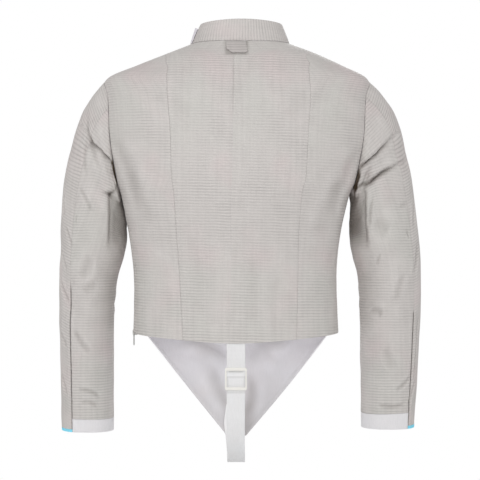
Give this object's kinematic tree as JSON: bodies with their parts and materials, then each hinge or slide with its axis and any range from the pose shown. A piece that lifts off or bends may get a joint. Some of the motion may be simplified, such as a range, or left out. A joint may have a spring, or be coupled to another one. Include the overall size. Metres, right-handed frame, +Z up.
{
  "type": "sabre fencing lame jacket",
  "caption": "Long-sleeved silver conductive fencing over-jacket, worn and hollow, with stand collar, clip tab, crotch flap and strap.",
  "frame": {"origin": "in the neck opening at the height of the collar seam, where the wearer holds the jacket up", "axes": "+Z up along the body, +Y out of the back, -Y out of the front, +X to the garment's left sleeve"},
  "size_m": [0.63, 0.2391, 0.7514],
  "materials": {
    "lame_cloth": "woven metal cloth with fine cross ribs",
    "white_cloth": "plain matt lining cloth",
    "blue_edging": "folded edging, matt",
    "webbing": "flat woven webbing",
    "buckle_plastic": "moulded, satin",
    "zip_metal": "plated, dull"
  },
  "bodies": {
    "jacket": {"back_side_left": "lame_cloth", "back_centre_left": "lame_cloth", "back_centre_right": "lame_cloth", "back_side_right": "lame_cloth", "front_main": "lame_cloth", "front_side_left": "lame_cloth", "zip_chain": "zip_metal", "sleeve_upper_left": "lame_cloth", "sleeve_under_left": "lame_cloth", "cuff_edge_left": "blue_edging", "cuff_band_left": "white_cloth", "sleeve_upper_right": "lame_cloth", "sleeve_under_right": "lame_cloth", "cuff_edge_right": "blue_edging", "cuff_band_right": "white_cloth", "collar": "lame_cloth", "clip_tab": "lame_cloth", "crotch_flap": "white_cloth", "crotch_strap": "webbing", "strap_buckle": "buckle_plastic", "zip_slider": "zip_metal"},
    "pull_tab": {"zip_pull": "zip_metal"}
  },
  "joints": [
    {"name": "zip_pull_swing", "type": "hinge", "parent": "jacket", "child": "pull_tab", "pos_m": [0.18071, -0.02497, -0.503], "axis": [-0.1675, -0.9859, 0], "range_deg": [0, 160]}
  ]
}
